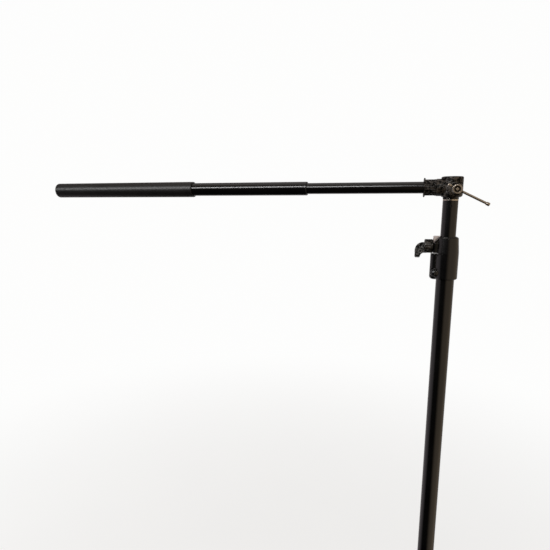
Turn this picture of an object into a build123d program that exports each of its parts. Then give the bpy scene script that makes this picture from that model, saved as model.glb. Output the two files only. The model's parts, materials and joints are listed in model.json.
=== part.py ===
"""Light stand on a swing-leg base, with a telescopic cross arm held in a cast head. Millimetres, +Z up.

Every sub-part is modelled about the column's axis, with z measured from the floor, and shifted by
COLUMN_X on export, so that the row's origin is on the floor at the middle of the whole footprint.
The arm points along -X, the clamping screw of the head along -Y.
"""
import os
from math import cos, radians, sin

from build123d import *

# Tube family: three drawn tubes serve the column, the riser and the arm.
LARGE_D, MEDIUM_D, SMALL_D = 30.0, 25.0, 20.0
WALL = 1.5
RUN = 0.05                      # radial running clearance of a sliding or turning fit
SEAT = 0.1                      # radial gap between fixed pieces that nest

# Heights above the floor.
ARM_Z = 1205.0                  # axis of the arm
HEAD_TOP_Z = ARM_Z + 17.8
HEAD_SHOULDER_Z = ARM_Z - 16.5
HEAD_NECK_Z = ARM_Z - 19.6      # underside of the head, on the spigot's flange
SPIGOT_FLANGE_Z = ARM_Z - 22.3  # underside of the flange, on the riser
COLLAR_TOP_Z = ARM_Z - 84.5
SPLIT_Z = ARM_Z - 111.2         # saw cut between the clamp zone and the fixed zone
COLLAR_BOTTOM_Z = ARM_Z - 157.0
COLUMN_TOP_Z = SPLIT_Z - 3.0
COLUMN_BOTTOM_Z = 76.0
RISER_BOTTOM_Z = 232.0
RIVET_Z = SPIGOT_FLANGE_Z - 9.0
RIVET_R, RIVET_HEAD_R, RIVET_HEAD = 1.6, 2.3, 0.9

# Head casting.
HEAD_R, HEAD_X = 17.65, 0.65
NECK_R = 12.8
STUD_R, STUD_TOP_Z = 8.0, ARM_Z + 8.0
STUD_GROOVE, STUD_GROOVE_DEPTH, SPIGOT_DEPTH = 5.5, 0.9, 40.0
NOSE_R, NOSE_END_X = 14.5, -24.6
THREAD_R, THREAD_END_X = 12.2, -36.5
SOCKET_END_X = -10.6
SCREW_X, SCREW_Z = 3.5, ARM_Z - 4.0
PAD_R, PAD_Y = 11.2, -22.6

# Clamping screw and its sliding bar.
SCREW_R, SCREW_TIP_Y, SCREW_NECK_Y = 5.0, -9.4, -24.6
SCREW_HEAD_R, SCREW_END_Y = 7.4, -48.0
BAR_R, BAR_Y, BAR_SLOPE = 2.0, -42.6, 26.8
BAR_SHORT, BAR_LONG = 15.9, 55.2   # from the screw's axis to each end of the bar
BAR_END_R, BAR_END_LENGTH = 2.8, 6.0
SCREW_FACE_RIM, SCREW_FACE_DEPTH, SCREW_BOSS_R = 2.2, 2.8, 2.2

# Lock nut of the arm.
NUT_R, NUT_START_X, NUT_END_X = 13.6, -24.9, -44.8
FLANGE_R, FLANGE_RIM = 16.2, 2.2
NUT_RIBS, NUT_RIB_R = 22, 1.0
NUT_BAND = 2.2                  # plain band at the casting's end of the nut
COLLET_R, COLLET_END_X = 11.6, -41.1

# Arm, from the head outwards. Each tube overlaps the thinner one inside it.
MIDDLE_MOUTH_X, OUTER_MOUTH_X, ARM_END_X = -248.5, -479.8, -806.0
OVERLAP = 100.0
END_CAP, PLUG_DEPTH = 2.6, 14.0
MOUTH_LIP, MOUTH_BUSH = 1.4, 28.0
LOCK_LENGTH, LOCK_OFFSET = 34.0, 1.2
BUTT = 0.02                     # gap where two fixed pieces meet end to end

# Collar at the top of the column.
COLLAR_TOP_R, COLLAR_R = 17.4, 19.4
BUSH_R = 14.2
BOSS_R, BOSS_X = 8.2, -18.4
SAW_CUT = 1.8
LEVER_Z = ARM_Z - 100.4
LEVER_BOSS_X, LEVER_BOSS_TOP_Z = -23.7, ARM_Z - 94.4
LEVER_START_X, LEVER_HUB_R, LEVER_HUB_LENGTH = -24.0, 12.0, 13.7
LEVER_FLUTES, LEVER_FLUTE_R = 12, 1.6
LEVER_TILT, LEVER_THICK = -20.0, 12.0
LEVER_POCKET = 3.0              # depth of the hollow in each face of the lever's arm
LEVER_SCREW_R, LEVER_SCREW_LENGTH = 4.0, 10.0
SHOE_TOP_Z, SHOE_BACK_X = ARM_Z - 82.6, -23.5
SHOE_HALF, TONGUE_HALF, TONGUE_BACK_X = 6.0, 5.0, -18.6
TONGUE_BOTTOM_Z = LEVER_Z - 7.2
SHOE_GAP = 0.3
DOME_R, DOME_Z, DOME_X = 6.3, ARM_Z - 146.0, -21.6
DOME_TURN, DOME_RIM, DOME_SCREW_R = 25.0, 2.4, 3.0

# Base.
HUB_R, HUB_HEIGHT, HUB_WASHER = 23.0, 37.0, 1.0
HUB_BOTTOM_Z = 90.0
SOCKET_R, SOCKET_REACH = 17.0, 52.0
LEG_R = MEDIUM_D / 2
LEG_START, LEG_KNEE, LEG_TOE, LEG_REACH = 26.0, 96.0, 444.0, 450.0
LEG_HEEL, LEG_HEEL_Z, LEG_TOE_Z = 178.0, 42.0, 16.5
LEG_BEND_R = 48.0
FOOT_R, FOOT_LENGTH, FOOT_PAD = 14.6, 46.0, 9.0
LEG_ANGLES = {"lower": 180.0, "middle": 60.0, "upper": -60.0}
LEG_WALL, LEG_PIN_X, LEG_PIN_R = 2.0, 38.0, 3.0
LOCK_RING_HEIGHT = 34.0
BASE_SCREW_R, BASE_SCREW_END_Y = 4.0, -44.0
BASE_KNOB_R, BASE_LOBE_R, BASE_LOBE_REACH = 9.0, 6.0, 9.0

# The whole footprint's middle lies this far from the column's axis.
COLUMN_X = (-ARM_END_X - (LEG_REACH * cos(radians(60)) + FOOT_R)) / 2


def rod_x(radius, x0, x1, y=0.0, z=ARM_Z):
    return Pos((x0 + x1) / 2, y, z) * Rot(0, 90, 0) * Cylinder(radius, abs(x1 - x0))


def rod_y(radius, y0, y1, x=0.0, z=ARM_Z):
    return Pos(x, (y0 + y1) / 2, z) * Rot(90, 0, 0) * Cylinder(radius, abs(y1 - y0))


def rod_z(radius, z0, z1, x=0.0, y=0.0):
    return Pos(x, y, (z0 + z1) / 2) * Cylinder(radius, abs(z1 - z0))


def block(x0, x1, y0, y1, z0, z1):
    centre = Pos((x0 + x1) / 2, (y0 + y1) / 2, (z0 + z1) / 2)
    return centre * Box(abs(x1 - x0), abs(y1 - y0), abs(z1 - z0))


def edges_at(part, axis, place, tolerance=0.05):
    """Edges whose centre lies at one coordinate along an axis, "X", "Y" or "Z"."""
    return [e for e in part.edges() if abs(getattr(e.center(), axis) - place) < tolerance]


def circles(part):
    return part.edges().filter_by(GeomType.CIRCLE)


def rounded_end(rod, radius):
    """Rounds the rim of the end of a rod along Y that faces the front."""
    return fillet([e for e in circles(rod) if e.center().Y < rod.center().Y], radius)


# ---------------------------------------------------------------- column and collar


def column_tube():
    tube = rod_z(LARGE_D / 2, COLUMN_BOTTOM_Z, COLUMN_TOP_Z)
    tube -= rod_z(LARGE_D / 2 - WALL, COLUMN_BOTTOM_Z, COLUMN_TOP_Z)
    return tube - dome_place(rod_x(DOME_SCREW_R + SEAT, DOME_X, 0, z=DOME_Z))


def column_plug():
    """Plug in the column's lower end, with a rounded cap below it."""
    cap_z, plug_z = COLUMN_BOTTOM_Z - 3, COLUMN_BOTTOM_Z + 16
    plug = rod_z(LARGE_D / 2, cap_z, COLUMN_BOTTOM_Z)
    plug = fillet(edges_at(plug, "Z", cap_z), 1.5)
    plug += rod_z(LARGE_D / 2 - WALL - SEAT, COLUMN_BOTTOM_Z, plug_z)
    return plug - rod_z(9, COLUMN_BOTTOM_Z + 1, plug_z)


def collar_shell():
    """Turned outline of the collar: tapered clamp zone above, parallel zone below."""
    outline = Polyline(
        (0, COLLAR_BOTTOM_Z),
        (COLLAR_R - 1.4, COLLAR_BOTTOM_Z),
        (COLLAR_R, COLLAR_BOTTOM_Z + 1.4),
        (COLLAR_R, SPLIT_Z),
        (COLLAR_TOP_R + 0.15, COLLAR_TOP_Z - 1.2),
        (COLLAR_TOP_R - 0.8, COLLAR_TOP_Z),
        (0, COLLAR_TOP_Z),
        close=True,
    )
    return revolve(Plane.XZ * make_face(outline), Axis.Z)


def lower_boss():
    """Half-round boss down the left of the fixed zone, rounded off at its foot."""
    foot_z = COLLAR_BOTTOM_Z - 1.5
    boss = rod_z(BOSS_R, foot_z, SPLIT_Z, x=BOSS_X)
    boss += block(BOSS_X, 0, -BOSS_R, BOSS_R, foot_z, SPLIT_Z)
    foot = [e for e in edges_at(boss, "Z", foot_z) if e.center().X < BOSS_X - 1]
    return fillet(foot, 5.5)


def dome_place(piece):
    """Turns a piece on the left of the column to the direction of the domed screw."""
    return Rot(0, 0, DOME_TURN) * piece


def dome_seat():
    return dome_place(rod_x(DOME_R + 1.2, DOME_X, BOSS_X + 6, z=DOME_Z))


def dome_bores():
    """Spot face in front of the domed screw's seat, and the hole for its shank."""
    face = rod_x(DOME_R + 1.9, 2 * DOME_X, DOME_X, z=DOME_Z)
    return dome_place(face + rod_x(DOME_SCREW_R + SEAT, 2 * DOME_X, 0, z=DOME_Z))


def lever_boss():
    """Square lug of the clamp zone, which carries the lever's thread and holds the brake shoe."""
    lug = block(LEVER_BOSS_X, 0, -9, 9, SPLIT_Z, LEVER_BOSS_TOP_Z)
    outer = [e for e in lug.edges().filter_by(Axis.Z) if e.center().X < LEVER_BOSS_X + 0.1]
    lug = fillet(outer, 3.5)
    cheek_x, cheek_z = -20.9, COLLAR_TOP_Z - 2.2
    cheeks = block(cheek_x, 0, -8.6, 8.6, LEVER_BOSS_TOP_Z - 1, cheek_z)
    top = edges_at(cheeks, "Z", cheek_z)
    return lug + chamfer([e for e in top if e.center().X < cheek_x + 1], 5.0)


def shoe_pocket():
    """Open slot in the lug for the brake shoe's head, and the deeper one for its tongue."""
    wide, narrow = SHOE_HALF + SHOE_GAP, TONGUE_HALF + SHOE_GAP
    head = block(-30, 0, -wide, wide, LEVER_BOSS_TOP_Z, COLLAR_TOP_Z + 2)
    back = TONGUE_BACK_X - SHOE_GAP
    return head + block(back, 0, -narrow, narrow, TONGUE_BOTTOM_Z - 0.8, LEVER_BOSS_TOP_Z + 1)


def collar():
    body = collar_shell() + lower_boss() + dome_seat() + lever_boss()
    body -= rod_z(LARGE_D / 2 + SEAT, COLLAR_BOTTOM_Z - 2, COLUMN_TOP_Z + 0.3)
    body -= rod_z(BUSH_R + SEAT, COLUMN_TOP_Z, COLLAR_TOP_Z + 1)
    body -= block(-30, -9, -30, 30, SPLIT_Z - SAW_CUT, SPLIT_Z)
    body -= shoe_pocket()
    body -= rod_x(LEVER_SCREW_R + RUN, LEVER_BOSS_X - 1, TONGUE_BACK_X, z=LEVER_Z)
    return body - dome_bores()


def guide_bush():
    """Nylon bush that guides the riser, with a lip over the collar's rim and a window for the shoe."""
    lip_z = COLLAR_TOP_Z + 0.9
    bush = rod_z(BUSH_R, COLUMN_TOP_Z + 0.5, COLLAR_TOP_Z)
    bush += rod_z(BUSH_R + 0.9, COLLAR_TOP_Z, lip_z)
    bush -= rod_z(MEDIUM_D / 2 + RUN, COLUMN_TOP_Z, lip_z)
    window = SHOE_HALF + 2 * SHOE_GAP
    return bush - block(-20, 0, -window, window, TONGUE_BOTTOM_Z - 1.3, lip_z)


def collar_screw():
    """Domed screw that pins the collar to the column."""
    rim_x = DOME_X - DOME_RIM
    head = rod_x(DOME_R, DOME_X, rim_x, z=DOME_Z)
    dome = Pos(DOME_X, 0, DOME_Z) * Sphere(DOME_R + 0.2)
    dome &= block(DOME_X - 9, rim_x, -9, 9, DOME_Z - 9, DOME_Z + 9)
    slot = block(DOME_X - 9, DOME_X - 4.8, -0.7, 0.7, DOME_Z - 3.4, DOME_Z + 3.4)
    shank = rod_x(DOME_SCREW_R, DOME_X, WALL + SEAT - LARGE_D / 2, z=DOME_Z)
    return dome_place(head + dome - slot + shank)


# ---------------------------------------------------------------- riser lock


def brake_shoe():
    """Bare metal shoe: its head fills the lug's open top, its tongue presses on the riser."""
    under_z = LEVER_BOSS_TOP_Z + 0.2
    head = block(SHOE_BACK_X, -MEDIUM_D / 2, -SHOE_HALF, SHOE_HALF, under_z, SHOE_TOP_Z)
    top = edges_at(head, "Z", SHOE_TOP_Z)
    head = chamfer([e for e in top if e.center().X < SHOE_BACK_X + 1], 1.0)
    tongue = block(TONGUE_BACK_X, -5, -TONGUE_HALF, TONGUE_HALF, TONGUE_BOTTOM_Z, under_z + 0.4)
    return head + tongue - rod_z(MEDIUM_D / 2 + RUN, TONGUE_BOTTOM_Z - 1, SHOE_TOP_Z + 1)


def lever_screw():
    return rod_x(LEVER_SCREW_R, TONGUE_BACK_X - 0.1, LEVER_START_X - LEVER_SCREW_LENGTH, z=LEVER_Z)


def lever_arm():
    """Swept arm in the plane of the lever: out from the hub, then down to a blunt end."""
    root = LEVER_HUB_LENGTH - LEVER_START_X - 4
    top = Line((root, 5.5), (42.0, 5.3))
    sweep_line = ThreePointArc((42.0, 5.3), (49.8, 1.0), (53.2, -11.0))
    end = Polyline(
        (53.2, -11.0),
        (53.4, -18.5),
        (51.8, -20.1),
        (45.0, -20.1),
        (43.8, -16.6),
        (42.6, -14.0),
        (39.5, -11.6),
        (root, -11.4),
        (root, 5.5),
    )
    blank = extrude(make_face(top + sweep_line + end), LEVER_THICK / 2, both=True)
    faces = [e for e in blank.edges() if abs(abs(e.center().Z) - LEVER_THICK / 2) < 0.05]
    return chamfer([e for e in faces if e.center().X > root + 1 and e.length > 2], 1.0)


def lever_pocket():
    """Hollow in the face of the lever's arm, which leaves a rim along its outer edge."""
    outline = Polyline(
        (38.6, 2.2),
        (44.6, 1.8),
        (47.6, -2.0),
        (49.2, -9.4),
        (49.4, -14.0),
        (46.6, -14.0),
        (45.0, -9.4),
        (38.6, -8.6),
        close=True,
    )
    return extrude(make_face(outline), LEVER_POCKET)


def lever_hub():
    end_x = LEVER_START_X - LEVER_HUB_LENGTH
    hub = fillet(circles(rod_x(LEVER_HUB_R, LEVER_START_X, end_x, z=0)), 1.4)
    for step in range(LEVER_FLUTES):
        angle = radians(360 / LEVER_FLUTES * (step + 0.5))
        y, z = (LEVER_HUB_R + 0.7) * cos(angle), (LEVER_HUB_R + 0.7) * sin(angle)
        hub -= rod_x(LEVER_FLUTE_R, LEVER_START_X - 2.5, end_x - 1, y=y, z=z)
    return hub


def lever_handle():
    arm = lever_arm()
    arm -= Pos(0, 0, LEVER_THICK / 2 - LEVER_POCKET) * lever_pocket()
    arm -= Pos(0, 0, -LEVER_THICK / 2) * lever_pocket()
    lever_plane = Plane(origin=(0, 0, 0), x_dir=(-1, 0, 0), z_dir=(0, 1, 0))
    handle = lever_hub() + lever_plane * arm
    socket_end = LEVER_START_X - LEVER_SCREW_LENGTH - 0.2
    handle -= rod_x(LEVER_SCREW_R + SEAT, LEVER_START_X + 1, socket_end, z=0)
    return Pos(0, 0, LEVER_Z) * Rot(LEVER_TILT, 0, 0) * handle


# ---------------------------------------------------------------- riser


def riser_tube():
    tube = rod_z(MEDIUM_D / 2, RISER_BOTTOM_Z, SPIGOT_FLANGE_Z)
    tube -= rod_z(MEDIUM_D / 2 - WALL, RISER_BOTTOM_Z, SPIGOT_FLANGE_Z)
    return tube - rod_y(RIVET_R + SEAT, -MEDIUM_D, 0, z=RIVET_Z)


def riser_foot():
    """Nylon foot that centres the riser in the column."""
    foot = rod_z(LARGE_D / 2 - WALL - RUN, RISER_BOTTOM_Z - 12, RISER_BOTTOM_Z - 0.1)
    foot += rod_z(MEDIUM_D / 2 - WALL - SEAT, RISER_BOTTOM_Z - 0.1, RISER_BOTTOM_Z + 20)
    return foot - rod_z(7.5, RISER_BOTTOM_Z - 12, RISER_BOTTOM_Z + 20)


def spigot():
    """Turned spigot: plug in the riser, bright flange, and the grooved stud that carries the head."""
    piece = rod_z(MEDIUM_D / 2 - WALL - SEAT, SPIGOT_FLANGE_Z - SPIGOT_DEPTH, SPIGOT_FLANGE_Z)
    piece += fillet(circles(rod_z(MEDIUM_D / 2, SPIGOT_FLANGE_Z, HEAD_NECK_Z)), 0.5)
    stud = rod_z(STUD_R, HEAD_NECK_Z, STUD_TOP_Z)
    piece += chamfer(edges_at(stud, "Z", STUD_TOP_Z), 1.2)
    low, high = SCREW_Z - STUD_GROOVE, SCREW_Z + STUD_GROOVE
    piece -= rod_z(STUD_R + 1, low, high) - rod_z(STUD_R - STUD_GROOVE_DEPTH, low, high)
    return piece - rod_y(RIVET_R + SEAT, -MEDIUM_D, -4, z=RIVET_Z)


def spigot_rivet():
    """Blind rivet that pins the spigot in the riser."""
    front = -MEDIUM_D / 2
    rivet = rod_y(RIVET_R, front - 0.3, -5, z=RIVET_Z)
    head = rod_y(RIVET_HEAD_R, front - RIVET_HEAD, front + 0.15, z=RIVET_Z)
    head -= rod_z(MEDIUM_D / 2 + 0.02, RIVET_Z - 5, RIVET_Z + 5)
    return rivet + head - rod_y(0.9, -MEDIUM_D, front + 2, z=RIVET_Z)


# ---------------------------------------------------------------- head


def head_casting():
    body = rod_z(HEAD_R, HEAD_SHOULDER_Z, HEAD_TOP_Z, x=HEAD_X)
    body = fillet(edges_at(body, "Z", HEAD_SHOULDER_Z), 4.5)
    body = fillet(edges_at(body, "Z", HEAD_TOP_Z), 2.4)
    body += rod_z(NECK_R, HEAD_NECK_Z, HEAD_SHOULDER_Z + 2)
    nose = rod_x(NOSE_R, NOSE_END_X, 0)
    body += chamfer(edges_at(nose, "X", NOSE_END_X), 0.8)
    body += rod_x(THREAD_R, THREAD_END_X, NOSE_END_X + 1)
    pad = rod_y(PAD_R, PAD_Y, -6, x=SCREW_X, z=SCREW_Z)
    body += fillet(edges_at(pad, "Y", PAD_Y), 1.2)
    body -= rod_x(SMALL_D / 2 + SEAT, THREAD_END_X - 1, SOCKET_END_X)
    body -= rod_z(STUD_R + RUN, HEAD_NECK_Z - 1, STUD_TOP_Z + 0.6)
    return body - rod_y(SCREW_R + RUN, PAD_Y - 1, 0, x=SCREW_X, z=SCREW_Z)


def screw_rod(radius, y0, y1):
    """Rod on the clamping screw's axis."""
    return rod_y(radius, y0, y1, x=SCREW_X, z=SCREW_Z)


def clamp_screw():
    """Bright screw of the head, with a recessed end face and a cross hole for the bar."""
    screw = screw_rod(SCREW_R, SCREW_TIP_Y, SCREW_NECK_Y)
    screw += fillet(circles(screw_rod(SCREW_HEAD_R, SCREW_NECK_Y, SCREW_END_Y)), 0.7)
    floor_y = SCREW_END_Y + SCREW_FACE_DEPTH
    screw -= screw_rod(SCREW_HEAD_R - SCREW_FACE_RIM, SCREW_END_Y - 1, floor_y)
    screw += screw_rod(SCREW_BOSS_R, SCREW_END_Y + 0.9, floor_y + 0.2)
    return screw - bar_rod(BAR_R + RUN, -30, 30)


def bar_rod(radius, start, end):
    """Rod on the sliding bar's line, its far end down to the right."""
    rod = Pos((start + end) / 2, 0, 0) * Rot(0, 90, 0) * Cylinder(radius, end - start)
    return Pos(SCREW_X, BAR_Y, SCREW_Z) * Rot(0, BAR_SLOPE, 0) * rod


def sliding_bar():
    return bar_rod(BAR_R, -BAR_SHORT + 1.5, BAR_LONG - 1.5)


def sliding_bar_ends():
    """The two turned ends that keep the bar in its hole."""
    ends = []
    for start, bore_start, bore_end in (
        (-BAR_SHORT, -BAR_SHORT + 1.4, 0),
        (BAR_LONG - BAR_END_LENGTH, 0, BAR_LONG - 1.4),
    ):
        blank = bar_rod(BAR_END_R, start, start + BAR_END_LENGTH)
        ends.append(fillet(circles(blank), 1.2) - bar_rod(BAR_R + BUTT, bore_start, bore_end))
    return Compound(children=ends)


def lock_nut():
    """Ribbed nut with a thin flange at its mouth, screwed over the casting's nose."""
    flange_x = NUT_END_X + FLANGE_RIM
    nut = rod_x(NUT_R - 0.6, NUT_START_X, flange_x)
    reach = NUT_R - NUT_RIB_R
    for step in range(NUT_RIBS):
        angle = radians(360 / NUT_RIBS * step)
        y, z = reach * cos(angle), ARM_Z + reach * sin(angle)
        nut += rod_x(NUT_RIB_R, NUT_START_X - 0.8, flange_x - 0.5, y=y, z=z)
    nut += chamfer(circles(rod_x(FLANGE_R, NUT_END_X, flange_x)), 0.4)
    nut += rod_x(NUT_R + 0.3, NUT_START_X, NUT_START_X - NUT_BAND)
    nut -= rod_x(THREAD_R + RUN, NUT_START_X + 1, THREAD_END_X - 0.5)
    nut -= rod_x(COLLET_R + 0.4, THREAD_END_X, COLLET_END_X - 0.4)
    return nut - rod_x(SMALL_D / 2 + 0.3, THREAD_END_X, NUT_END_X - 1)


def collet():
    """Split nylon ring that the lock nut squeezes onto the arm."""
    ring = rod_x(COLLET_R, THREAD_END_X - 0.3, COLLET_END_X)
    ring = chamfer(edges_at(ring, "X", COLLET_END_X), 1.0)
    ring -= rod_x(SMALL_D / 2 + SEAT, THREAD_END_X, COLLET_END_X - 1)
    return ring - block(COLLET_END_X - 1, THREAD_END_X, -0.8, 0.8, ARM_Z, ARM_Z + 20)


# ---------------------------------------------------------------- telescopic arm


def arm_tube(diameter, mouth_x, far_x):
    return rod_x(diameter / 2, mouth_x, far_x) - rod_x(diameter / 2 - WALL, mouth_x, far_x)


def mouth_bush(tube_d, inner_d, mouth_x):
    """Plastic bush in a tube's mouth: a lip on the rim and a sleeve inside."""
    bush = rod_x(tube_d / 2 - 0.2, mouth_x, mouth_x - MOUTH_LIP)
    bush = fillet(edges_at(bush, "X", mouth_x), 0.5)
    bush += rod_x(tube_d / 2 - WALL - SEAT, mouth_x - MOUTH_LIP, mouth_x - MOUTH_BUSH)
    return bush - rod_x(inner_d / 2 + RUN, mouth_x + 1, mouth_x - MOUTH_BUSH - 1)


def lock_core(tube_d, far_x):
    """Plug pressed in a tube's far end, with the eccentric post that spreads the lock sleeve."""
    bore_r, end_x = tube_d / 2 - WALL, far_x - LOCK_LENGTH
    core = rod_x(bore_r - SEAT, far_x + 18, far_x - 2)
    core += rod_x(tube_d / 4, far_x - 2, end_x, z=ARM_Z + LOCK_OFFSET)
    return core + rod_x(bore_r - 0.5, end_x, end_x - 2)


def lock_sleeve(tube_d, outer_d, far_x):
    """Split nylon sleeve on the eccentric post, gripping the next tube's bore from inside."""
    start, end = far_x - 2.3, far_x - LOCK_LENGTH + 0.3
    sleeve = rod_x(outer_d / 2 - WALL - RUN, start, end)
    sleeve -= rod_x(tube_d / 4 + SEAT, start, end, z=ARM_Z + LOCK_OFFSET)
    return sleeve - block(start, end, -1, 1, ARM_Z + 2, ARM_Z + 20)


def root_plug():
    """Closes the inner end of the arm where it seats in the casting."""
    return rod_x(SMALL_D / 2 - WALL - SEAT, SOCKET_END_X - 0.6, SOCKET_END_X - PLUG_DEPTH)


def end_cap():
    """Thin plastic cap on the arm's far end, with its plug inside the tube."""
    rim_x, plug_x = ARM_END_X + END_CAP, ARM_END_X + PLUG_DEPTH
    cap = rod_x(LARGE_D / 2, ARM_END_X, rim_x)
    cap = fillet(edges_at(cap, "X", ARM_END_X), 1.2)
    cap += rod_x(LARGE_D / 2 - WALL - SEAT, rim_x, plug_x)
    return cap - rod_x(9, rim_x + 1, plug_x)


# ---------------------------------------------------------------- base


def hub_z(name):
    """Middle height of one leg's hub."""
    return HUB_BOTTOM_Z + HUB_HEIGHT / 2 + list(LEG_ANGLES).index(name) * (HUB_HEIGHT + HUB_WASHER)


def leg_place(name, piece):
    """Turns a piece modelled along +X to its leg's direction."""
    return Rot(0, 0, LEG_ANGLES[name]) * piece


def hub(name):
    """Cast ring round the column with the socket of its leg."""
    middle = hub_z(name)
    body = rod_z(HUB_R, middle - HUB_HEIGHT / 2, middle + HUB_HEIGHT / 2)
    body = fillet(circles(body), 2.0)
    socket = rod_x(SOCKET_R, 8, SOCKET_REACH, z=middle)
    body += fillet(edges_at(socket, "X", SOCKET_REACH), 2.0)
    clearance = SEAT if name == "lower" else RUN
    body -= rod_z(LARGE_D / 2 + clearance, middle - HUB_HEIGHT, middle + HUB_HEIGHT)
    body -= rod_x(LEG_R + SEAT, LEG_START, SOCKET_REACH + 1, z=middle)
    body -= rod_z(LEG_PIN_R + SEAT, middle - HUB_HEIGHT, middle + HUB_HEIGHT, x=LEG_PIN_X)
    return leg_place(name, body)


def leg_path(name):
    """Level out of the hub, down to the heel, then nearly level to the toe."""
    top = hub_z(name)
    start, knee = (LEG_START + 0.5, 0, top), (LEG_KNEE, 0, top)
    heel, toe = (LEG_HEEL, 0, LEG_HEEL_Z), (LEG_TOE, 0, LEG_TOE_Z)
    return FilletPolyline(start, knee, heel, toe, radius=[LEG_BEND_R, LEG_BEND_R])


def leg(name):
    path = leg_path(name)
    start = Plane(origin=path @ 0, z_dir=path % 0)
    tube = sweep(start * (Circle(LEG_R) - Circle(LEG_R - LEG_WALL)), path=path)
    low, high = hub_z(name) - SOCKET_R, hub_z(name) + SOCKET_R
    return leg_place(name, tube - rod_z(LEG_PIN_R + SEAT, low, high, x=LEG_PIN_X))


def toe_plane():
    """Plane across the leg's toe, its normal pointing out along the tube."""
    run, fall = LEG_TOE - LEG_HEEL, LEG_HEEL_Z - LEG_TOE_Z
    return Plane(origin=(LEG_TOE, 0, LEG_TOE_Z), x_dir=(0, 1, 0), z_dir=(run, 0, -fall))


def foot(name):
    """Rubber cap on the toe, flattened where it stands on the floor."""
    cap = toe_plane() * Pos(0, 0, 6 - FOOT_LENGTH / 2) * Cylinder(FOOT_R, FOOT_LENGTH)
    cap = fillet(circles(cap), 3.0)
    cap += block(LEG_TOE - 34, LEG_TOE, -FOOT_PAD, FOOT_PAD, 0, 8)
    cap -= block(LEG_TOE - 80, LEG_TOE + 40, -40, 40, -20, 0)
    cap -= toe_plane() * Pos(0, 0, -FOOT_LENGTH / 2) * Cylinder(LEG_R + SEAT, FOOT_LENGTH + 0.2)
    return leg_place(name, cap)


def leg_pin(name):
    """Bolt that holds the leg in its socket, with a domed head above and a nut below."""
    seat_z, nut_z = hub_z(name) + SOCKET_R + 0.4, hub_z(name) - SOCKET_R - 2.9
    head_z = seat_z + 3.2
    pin = rod_z(LEG_PIN_R, nut_z - 2.1, seat_z, x=LEG_PIN_X)
    head = rod_z(5.2, seat_z, head_z, x=LEG_PIN_X)
    pin += fillet(edges_at(head, "Z", head_z), 1.8)
    nut = extrude(RegularPolygon(5.6, 6), 2.1, both=True)
    return leg_place(name, pin + Pos(LEG_PIN_X, 0, nut_z) * nut)


def hub_washers():
    """Nylon washers between the hubs and under the locking ring."""
    washers = []
    for name in LEG_ANGLES:
        low = hub_z(name) + HUB_HEIGHT / 2 + 0.1
        ring = rod_z(HUB_R - 2.4, low, low + HUB_WASHER - 0.2)
        washers.append(ring - rod_z(LARGE_D / 2 + SEAT, low - 1, low + 2))
    return Compound(children=washers)


def lock_ring_z():
    return hub_z("upper") + HUB_HEIGHT / 2 + HUB_WASHER + LOCK_RING_HEIGHT / 2


def lock_ring():
    """Ring clamped on the column above the hubs. Its screw is tightened to hold the legs."""
    middle, half = lock_ring_z(), LOCK_RING_HEIGHT / 2
    ring = fillet(circles(rod_z(HUB_R, middle - half, middle + half)), 1.6)
    ring += rod_y(8.4, -12, -30, z=middle)
    ring -= rod_z(LARGE_D / 2 + SEAT, middle - half, middle + half)
    return ring - rod_y(BASE_SCREW_R + RUN, -10, -40, z=middle)


def base_lock_screw():
    return rod_y(BASE_SCREW_R, -LARGE_D / 2 - 0.2, BASE_SCREW_END_Y, z=lock_ring_z())


def base_lock_knob():
    """Three-lobed moulded knob on the base's locking screw."""
    middle = lock_ring_z()
    knob = rounded_end(rod_y(BASE_KNOB_R, -31, -47, z=middle), 1.6)
    for step in range(3):
        angle = radians(120 * step + 90)
        x, z = BASE_LOBE_REACH * cos(angle), middle + BASE_LOBE_REACH * sin(angle)
        knob += rounded_end(rod_y(BASE_LOBE_R, -36, -46.4, x=x, z=z), 1.6)
    return knob - rod_y(BASE_SCREW_R + SEAT, -30, BASE_SCREW_END_Y - 0.3, z=middle)


# ---------------------------------------------------------------- whole stand


def arm_pieces():
    middle_far_x, outer_far_x = MIDDLE_MOUTH_X - OVERLAP, OUTER_MOUTH_X - OVERLAP
    lip = MOUTH_LIP + BUTT
    return {
        "arm_tube_inner": arm_tube(SMALL_D, SOCKET_END_X - 0.4, middle_far_x),
        "arm_tube_middle": arm_tube(MEDIUM_D, MIDDLE_MOUTH_X - lip, outer_far_x),
        "arm_tube_outer": arm_tube(LARGE_D, OUTER_MOUTH_X - lip, ARM_END_X + END_CAP + BUTT),
        "middle_mouth_bush": mouth_bush(MEDIUM_D, SMALL_D, MIDDLE_MOUTH_X),
        "outer_mouth_bush": mouth_bush(LARGE_D, MEDIUM_D, OUTER_MOUTH_X),
        "inner_lock_core": lock_core(SMALL_D, middle_far_x - 0.2),
        "inner_lock_sleeve": lock_sleeve(SMALL_D, MEDIUM_D, middle_far_x - 0.2),
        "middle_lock_core": lock_core(MEDIUM_D, outer_far_x - 0.2),
        "middle_lock_sleeve": lock_sleeve(MEDIUM_D, LARGE_D, outer_far_x - 0.2),
        "arm_root_plug": root_plug(),
        "arm_end_cap": end_cap(),
    }


def column_pieces():
    return {
        "column_tube": column_tube(),
        "column_plug": column_plug(),
        "collar": collar(),
        "guide_bush": guide_bush(),
        "collar_screw": collar_screw(),
        "brake_shoe": brake_shoe(),
        "lever_screw": lever_screw(),
        "lever_handle": lever_handle(),
        "riser_tube": riser_tube(),
        "riser_foot": riser_foot(),
        "spigot": spigot(),
        "spigot_rivet": spigot_rivet(),
    }


def head_pieces():
    return {
        "head_casting": head_casting(),
        "clamp_screw": clamp_screw(),
        "sliding_bar": sliding_bar(),
        "sliding_bar_ends": sliding_bar_ends(),
        "lock_nut": lock_nut(),
        "collet": collet(),
    }


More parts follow.
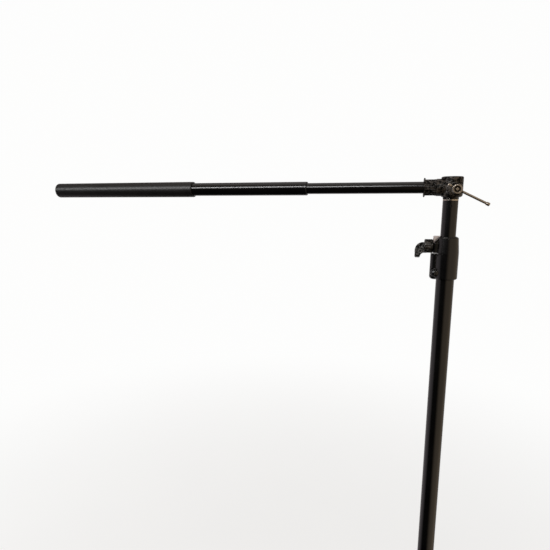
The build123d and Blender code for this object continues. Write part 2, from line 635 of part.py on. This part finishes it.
def base_pieces():
    parts = {
        "hub_washers": hub_washers(),
        "lock_ring": lock_ring(),
        "base_lock_screw": base_lock_screw(),
        "base_lock_knob": base_lock_knob(),
    }
    for name in LEG_ANGLES:
        parts[f"{name}_hub"] = hub(name)
        parts[f"{name}_leg"] = leg(name)
        parts[f"{name}_foot"] = foot(name)
        parts[f"{name}_leg_bolt"] = leg_pin(name)
    return parts


os.makedirs("parts", exist_ok=True)
stand = {**column_pieces(), **head_pieces(), **arm_pieces(), **base_pieces()}
for node, piece in stand.items():
    export_step(Pos(COLUMN_X, 0, 0) * piece, f"parts/{node}.step")
print(f"column axis at x = {COLUMN_X:.2f}")
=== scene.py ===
import json
import math

import bpy
from mathutils import Euler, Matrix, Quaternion, Vector


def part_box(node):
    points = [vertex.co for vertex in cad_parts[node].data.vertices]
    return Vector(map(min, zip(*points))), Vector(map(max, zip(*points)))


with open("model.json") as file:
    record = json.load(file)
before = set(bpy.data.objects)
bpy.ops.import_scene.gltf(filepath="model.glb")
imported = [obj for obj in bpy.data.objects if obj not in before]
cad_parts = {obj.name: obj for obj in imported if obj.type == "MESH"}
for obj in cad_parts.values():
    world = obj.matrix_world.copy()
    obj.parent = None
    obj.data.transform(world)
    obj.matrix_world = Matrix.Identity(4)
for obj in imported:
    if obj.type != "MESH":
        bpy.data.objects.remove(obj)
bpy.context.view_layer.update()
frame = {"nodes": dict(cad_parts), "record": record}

# ------------------------------------------------------------------ places taken from the frame


def middle(node):
    low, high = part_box(node)
    return (low + high) / 2


def span(node):
    low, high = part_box(node)
    return high - low


AXIS_X = middle("column_tube").x
ARM_Z = middle("arm_tube_outer").z
CROSSING = Vector((AXIS_X, 0.0, ARM_Z))     # where the arm's axis meets the column's

# ------------------------------------------------------------------ camera, floor and light

CAMERA_FROM_CROSSING = Vector((-0.0892, -0.7757, -0.0233))
CAMERA_DOWN, CAMERA_TURN = math.radians(10.02), math.radians(15.95)
LENS, SENSOR = 27.30, 36.0
FLOOR_HALF = 14.0               # half the floor's side
FLOOR_NEAR, FLOOR_FAR = 0.3, 2.4   # where the floor starts to fade into the backdrop, and where it has
FLOOR_GLOW = 0.72               # share of the floor near the stand that takes no shadow
FLOOR_BOUNCE = 0.25             # share of the floor's light that reaches the stand
PAPER = (0.985, 0.985, 0.98)
PAPER_DARK, PAPER_LIGHT = (0.74, 0.74, 0.735), (0.78, 0.78, 0.775)

# Each light: name, place and aim from the crossing, size in metres, watts, roll in degrees.
LIGHTS = (
    ("strip", (-1.38, -2.0, 1.10), (-0.9, 0.0, 0.0), (2.8, 0.34), 54, 17),
    ("top", (-0.4, 0.3, 2.2), (0.0, 0.0, 0.0), (2.4, 2.4), 8, 0),
)


def make_camera():
    data = bpy.data.cameras.new("camera")
    data.lens, data.sensor_width = LENS, SENSOR
    data.clip_start = 0.02
    camera = bpy.data.objects.new("camera", data)
    camera.location = CROSSING + CAMERA_FROM_CROSSING
    camera.rotation_euler = Euler((math.pi / 2 - CAMERA_DOWN, 0.0, CAMERA_TURN))
    bpy.context.scene.collection.objects.link(camera)
    bpy.context.scene.camera = camera


def add_node(tree, kind, **settings):
    node = tree.nodes.new(kind)
    for name, value in settings.items():
        setattr(node, name, value)
    return node


def connect(tree, source, target):
    tree.links.new(source, target)


def maths(tree, operation, a, b=None, clamp=False):
    node = add_node(tree, "ShaderNodeMath", operation=operation, use_clamp=clamp)
    for socket, value in zip(node.inputs, (a, b)):
        if value is None:
            continue
        if hasattr(value, "is_output"):
            connect(tree, value, socket)
        else:
            socket.default_value = value
    return node.outputs[0]


def remap(tree, value, from_low, from_high, to_low, to_high, smooth=False):
    node = add_node(tree, "ShaderNodeMapRange", clamp=True)
    if smooth:
        node.interpolation_type = "SMOOTHSTEP"
    connect(tree, value, node.inputs["Value"])
    limits = {"From Min": from_low, "From Max": from_high, "To Min": to_low, "To Max": to_high}
    for name, number in limits.items():
        node.inputs[name].default_value = number
    return node.outputs["Result"]


def toward(azimuth, elevation):
    """Unit vector: azimuth 0 is +Y, 90 is +X."""
    a, e = math.radians(azimuth), math.radians(elevation)
    return (math.sin(a) * math.cos(e), math.cos(a) * math.cos(e), math.sin(e))


# What the glossy parts reflect: direction of each soft patch, half widths of its core and its edge, colour.
STUDIO = (
    (toward(0, -6), 40, 62, (0.66, 0.63, 0.62)),      # pale wall behind the stand
    (toward(-72, -4), 30, 54, (0.56, 0.50, 0.52)),    # soft source on the far left
    (toward(110, -4), 40, 76, (0.66, 0.53, 0.39)),    # warm bounce on the right
    (toward(180, 86), 30, 52, (0.34, 0.29, 0.25)),    # ceiling, dimmer than the walls
)
STUDIO_BASE = 0.010


def sky_patch(tree, ray, direction, core, edge, colour):
    dot = add_node(tree, "ShaderNodeVectorMath", operation="DOT_PRODUCT")
    connect(tree, ray, dot.inputs[0])
    dot.inputs[1].default_value = direction
    inner, outer = math.cos(math.radians(core)), math.cos(math.radians(edge))
    patch = remap(tree, dot.outputs["Value"], outer, inner, 0.0, 1.0, smooth=True)
    scaled = add_node(tree, "ShaderNodeVectorMath", operation="SCALE")
    scaled.inputs[0].default_value = colour
    connect(tree, patch, scaled.inputs["Scale"])
    return scaled.outputs[0]


def make_world():
    """Paper white to the camera, and a room of soft patches to everything else."""
    world = bpy.data.worlds.new("studio")
    bpy.context.scene.world = world
    world.use_nodes = True
    tree = world.node_tree
    tree.nodes.clear()
    ray = add_node(tree, "ShaderNodeTexCoord").outputs["Generated"]
    total = add_node(tree, "ShaderNodeCombineXYZ")
    for socket in total.inputs:
        socket.default_value = STUDIO_BASE
    total = total.outputs[0]
    for direction, core, edge, colour in STUDIO:
        lighter = add_node(tree, "ShaderNodeVectorMath", operation="MAXIMUM")
        connect(tree, total, lighter.inputs[0])
        connect(tree, sky_patch(tree, ray, direction, core, edge, colour), lighter.inputs[1])
        total = lighter.outputs[0]
    studio = add_node(tree, "ShaderNodeBackground")
    connect(tree, total, studio.inputs["Color"])
    paper = add_node(tree, "ShaderNodeBackground")
    paper.inputs["Color"].default_value = (*PAPER, 1)
    mix = add_node(tree, "ShaderNodeMixShader")
    connect(tree, add_node(tree, "ShaderNodeLightPath").outputs["Is Camera Ray"], mix.inputs[0])
    connect(tree, studio.outputs[0], mix.inputs[1])
    connect(tree, paper.outputs[0], mix.inputs[2])
    connect(tree, mix.outputs[0], add_node(tree, "ShaderNodeOutputWorld").inputs["Surface"])


def make_light(name, place, aim, size, power, roll):
    place, aim = CROSSING + Vector(place), CROSSING + Vector(aim)
    data = bpy.data.lights.new(name, "AREA")
    data.shape, data.size, data.size_y = "RECTANGLE", size[0], size[1]
    data.energy = power
    light = bpy.data.objects.new(name, data)
    light.location = place
    turn = (aim - place).to_track_quat("-Z", "Y") @ Quaternion((0, 0, 1), math.radians(roll))
    light.rotation_euler = turn.to_euler()
    light.visible_camera = False
    bpy.context.scene.collection.objects.link(light)


def make_floor():
    """White paper that catches a faint shadow near the stand and fades into the backdrop."""
    corners = [(x * FLOOR_HALF, y * FLOOR_HALF, 0) for x, y in ((-1, -1), (1, -1), (1, 1), (-1, 1))]
    mesh = bpy.data.meshes.new("floor")
    mesh.from_pydata(corners, [], [(0, 1, 2, 3)])
    floor = bpy.data.objects.new("floor", mesh)
    bpy.context.scene.collection.objects.link(floor)
    material, tree, shader = new_material("floor_paper")
    shader.inputs["Roughness"].default_value = 0.9
    shader.inputs["Specular IOR Level"].default_value = 0.0
    seen = add_node(tree, "ShaderNodeLightPath").outputs["Is Camera Ray"]
    ramp = tone(tree, shader, grain(tree, 3.0, detail=4), PAPER_DARK, PAPER_LIGHT)
    dim = add_node(tree, "ShaderNodeVectorMath", operation="SCALE")
    connect(tree, ramp.outputs["Color"], dim.inputs[0])
    connect(tree, remap(tree, seen, 0.0, 1.0, FLOOR_BOUNCE, 1.0), dim.inputs["Scale"])
    connect(tree, dim.outputs[0], shader.inputs["Base Color"])
    paper = add_node(tree, "ShaderNodeEmission")
    paper.inputs["Color"].default_value = (*PAPER, 1)
    reach = add_node(tree, "ShaderNodeVectorMath", operation="LENGTH")
    connect(tree, add_node(tree, "ShaderNodeTexCoord").outputs["Object"], reach.inputs[0])
    far = remap(tree, reach.outputs["Value"], FLOOR_NEAR, FLOOR_FAR, FLOOR_GLOW, 1.0, smooth=True)
    mix = add_node(tree, "ShaderNodeMixShader")
    connect(tree, maths(tree, "MULTIPLY", far, seen), mix.inputs[0])
    connect(tree, shader.outputs[0], mix.inputs[1])
    connect(tree, paper.outputs[0], mix.inputs[2])
    connect(tree, mix.outputs[0], tree.nodes["Material Output"].inputs["Surface"])
    mesh.materials.append(material)
    floor.visible_glossy = False


# ------------------------------------------------------------------ material parts

# Grains, in repeats per metre.
SMUDGE, RUB, SKIN, BRUSH, CLOUD, PATCHES = 28.0, 340.0, 500.0, 900.0, 160.0, 220.0
FINE = 3.1                      # a crinkle's fine grain, as a multiple of its lumps
BRUSH_DEPTH = 0.000003
PAINT_WORN, PLASTIC_WORN, METAL_WORN = (0.16, 0.15, 0.14), (0.06, 0.055, 0.05), (0.9, 0.88, 0.86)


def new_material(name):
    material = bpy.data.materials.new(name)
    material.use_nodes = True
    tree = material.node_tree
    return material, tree, tree.nodes["Principled BSDF"]


def grain(tree, scale, detail=3.0, stretch=(1, 1, 1), rough=0.5):
    """A grain in the object's own coordinates. Scale is in repeats per metre."""
    place = add_node(tree, "ShaderNodeTexCoord").outputs["Object"]
    if stretch != (1, 1, 1):
        mapping = add_node(tree, "ShaderNodeMapping")
        mapping.inputs["Scale"].default_value = stretch
        connect(tree, place, mapping.inputs["Vector"])
        place = mapping.outputs[0]
    node = add_node(tree, "ShaderNodeTexNoise")
    node.inputs["Scale"].default_value = scale
    node.inputs["Detail"].default_value = detail
    node.inputs["Roughness"].default_value = rough
    connect(tree, place, node.inputs["Vector"])
    return node.outputs["Fac"]


def tone(tree, shader, value, dark, light, low=0.35, high=0.65):
    ramp = add_node(tree, "ShaderNodeValToRGB")
    ramp.color_ramp.elements[0].position, ramp.color_ramp.elements[1].position = low, high
    ramp.color_ramp.elements[0].color = (*dark, 1)
    ramp.color_ramp.elements[1].color = (*light, 1)
    connect(tree, value, ramp.inputs["Fac"])
    connect(tree, ramp.outputs["Color"], shader.inputs["Base Color"])
    return ramp


def roughness(tree, shader, value, low, high):
    connect(tree, remap(tree, value, 0.3, 0.7, low, high), shader.inputs["Roughness"])


def relief(tree, shader, heights, normal=None):
    """Bumps stacked on a normal: (height, depth in metres)."""
    for height, depth in heights:
        bump = add_node(tree, "ShaderNodeBump")
        bump.inputs["Distance"].default_value = depth
        connect(tree, height, bump.inputs["Height"])
        if normal is not None:
            connect(tree, normal, bump.inputs["Normal"])
        normal = bump.outputs[0]
    connect(tree, normal, shader.inputs["Normal"])


def worn_edges(tree, shader, ramp, radius, metal_tone, amount):
    """Rubs the finish thin along the edges: the rounded normal leaves the true one only there."""
    bevel = add_node(tree, "ShaderNodeBevel", samples=6)
    bevel.inputs["Radius"].default_value = radius
    dot = add_node(tree, "ShaderNodeVectorMath", operation="DOT_PRODUCT")
    connect(tree, bevel.outputs[0], dot.inputs[0])
    connect(tree, add_node(tree, "ShaderNodeNewGeometry").outputs["Normal"], dot.inputs[1])
    edge = remap(tree, dot.outputs["Value"], 0.97, 0.80, 0.0, 1.0)
    patchy = remap(tree, grain(tree, PATCHES, detail=4), 0.42, 0.60, 0.0, amount)
    mix = add_node(tree, "ShaderNodeMix", data_type="RGBA")
    connect(tree, maths(tree, "MULTIPLY", edge, patchy), mix.inputs["Factor"])
    connect(tree, ramp.outputs["Color"], mix.inputs[6])
    mix.inputs[7].default_value = (*metal_tone, 1)
    connect(tree, mix.outputs[2], shader.inputs["Base Color"])
    return bevel.outputs[0]


def painted(name, dark, light, shine, spread, peel=0.000004, scuff=(1, 1, 1), edge=0.0):
    """Gloss or satin paint: slight orange peel, smudges that change the gloss, fine rubbing marks."""
    material, tree, shader = new_material(name)
    smudge = grain(tree, SMUDGE, detail=5, rough=0.6)
    rub = grain(tree, RUB, detail=4, stretch=scuff, rough=0.7)
    ramp = tone(tree, shader, smudge, dark, light)
    both = maths(tree, "ADD", maths(tree, "MULTIPLY", smudge, 0.6), maths(tree, "MULTIPLY", rub, 0.4))
    roughness(tree, shader, both, shine - spread, shine + spread)
    normal = worn_edges(tree, shader, ramp, edge, PAINT_WORN, 0.6) if edge else None
    skin = grain(tree, SKIN, detail=2, stretch=scuff)
    relief(tree, shader, [(skin, peel), (rub, peel * 0.5)], normal)
    return material


def textured(name, dark, light, shine, spread, cell, depth, gloss=(0.35, 0.5)):
    """Crinkle finish or moulded grain: small lumps over a mottled tone, with painted shade in the valleys
    and a painted highlight on the crests.
    """
    material, tree, shader = new_material(name)
    lump = grain(tree, 1.0 / cell, detail=3, rough=0.6)
    fine = grain(tree, FINE / cell, detail=3, rough=0.6)
    # The colour follows the lumps' height: painted shade darkens the valleys and a painted highlight
    # lightens the crests.
    ramp = tone(tree, shader, lump, dark, light, 0.44, 0.64)
    connect(tree, remap(tree, lump, 0.40, 0.60, *gloss), shader.inputs["Specular IOR Level"])
    roughness(tree, shader, fine, shine - spread, shine + spread)
    normal = worn_edges(tree, shader, ramp, 0.0007, PLASTIC_WORN, 0.35)
    relief(tree, shader, [(lump, depth), (fine, depth * 0.35)], normal)
    return material


def metal(name, dark, light, shine, spread, edge=0.0003, wear=0.2, shade_reach=0.004):
    """Plated or bare metal: painted shade darkening the recesses, fine brushing, brighter rubbed edges."""
    material, tree, shader = new_material(name)
    shader.inputs["Metallic"].default_value = 1.0
    line = grain(tree, BRUSH, detail=3)
    # Painted shade: ambient occlusion darkens the colour in recesses and hollows, mixed with a random cloud
    # of tone.
    recess = add_node(tree, "ShaderNodeAmbientOcclusion", samples=8)
    recess.inputs["Distance"].default_value = shade_reach
    cloud = remap(tree, grain(tree, CLOUD, detail=5, rough=0.6), 0.3, 0.7, -0.12, 0.12)
    shade_and_cloud = maths(tree, "ADD", remap(tree, recess.outputs["AO"], 0.66, 0.96, 0.0, 1.0), cloud)
    ramp = tone(tree, shader, shade_and_cloud, dark, light, 0.1, 0.9)
    roughness(tree, shader, line, shine - spread, shine + spread)
    normal = worn_edges(tree, shader, ramp, edge, METAL_WORN, wear)
    relief(tree, shader, [(line, BRUSH_DEPTH)], normal)
    return material


ALONG_COLUMN, ALONG_ARM = (2, 2, 0.04), (0.04, 2, 2)


def make_materials():
    """One finish for each of the record's slots."""
    tube_dark, tube_light = (0.0014, 0.0013, 0.0013), (0.0026, 0.0024, 0.0023)
    return {
        "black_tube": painted(
            "tube_satin_black", tube_dark, tube_light,
            0.22, 0.03, peel=0.0000012, scuff=ALONG_COLUMN,
        ),
        "black_arm_gloss": painted(
            "arm_gloss_black", tube_dark, tube_light,
            0.19, 0.010, peel=0.0000003, scuff=ALONG_ARM,
        ),
        "black_arm_satin": painted(
            "arm_satin_black", (0.0022, 0.0020, 0.0019), (0.0040, 0.0036, 0.0033),
            0.42, 0.04, scuff=ALONG_ARM,
        ),
        "collar_black": painted(
            "collar_satin_black", (0.0016, 0.0014, 0.0014), (0.0030, 0.0026, 0.0025),
            0.23, 0.03, peel=0.000002, edge=0.0005,
        ),
        "cast_black": textured(
            "cast_crinkle_black", (0.0006, 0.0005, 0.0004), (0.0420, 0.0310, 0.0210),
            0.36, 0.08, 0.0050, 0.00130, gloss=(0.05, 0.60),
        ),
        "nut_plastic": textured(
            "nut_matte_black", (0.0007, 0.0006, 0.0005), (0.0330, 0.0260, 0.0200),
            0.40, 0.08, 0.0044, 0.00090, gloss=(0.05, 0.55),
        ),
        "knob_plastic": textured(
            "knob_mottled_black", (0.0007, 0.0006, 0.0005), (0.0360, 0.0290, 0.0230),
            0.40, 0.08, 0.0046, 0.00090, gloss=(0.05, 0.60),
        ),
        "black_plastic": textured(
            "moulded_black", (0.0050, 0.0050, 0.0050), (0.0090, 0.0090, 0.0090),
            0.42, 0.06, 0.0012, 0.00005,
        ),
        "nylon": textured(
            "dark_nylon", (0.010, 0.010, 0.010), (0.018, 0.018, 0.017),
            0.38, 0.05, 0.0015, 0.00004,
        ),
        "black_steel": painted(
            "blackened_steel", (0.0030, 0.0030, 0.0036), (0.0060, 0.0060, 0.0066),
            0.22, 0.05, edge=0.0004,
        ),
        "bare_zinc": metal("bare_zinc", (0.30, 0.27, 0.27), (0.86, 0.80, 0.81), 0.45, 0.08),
        "zinc_steel": metal("zinc_plated", (0.16, 0.16, 0.17), (0.60, 0.60, 0.61), 0.32, 0.08),
        "bright_chrome": metal("bright_chrome", (0.03, 0.026, 0.022), (0.50, 0.45, 0.39), 0.27, 0.05),
        "foot_rubber": textured(
            "foot_rubber", (0.008, 0.008, 0.008), (0.016, 0.016, 0.015),
            0.60, 0.08, 0.0030, 0.00012,
        ),
    }


def dress(materials):
    """Gives every CAD node that stays in view its slot's finish."""
    slots = {row["node"]: row["material_slot"] for row in frame["record"]["subparts"]}
    for name, node in frame["nodes"].items():
        node.data.materials.clear()
        node.data.materials.append(materials[slots[name]])


make_camera()
make_world()
make_floor()
for light in LIGHTS:
    make_light(*light)
bpy.context.scene.view_settings.view_transform = "Standard"
MATERIALS = make_materials()
dress(MATERIALS)
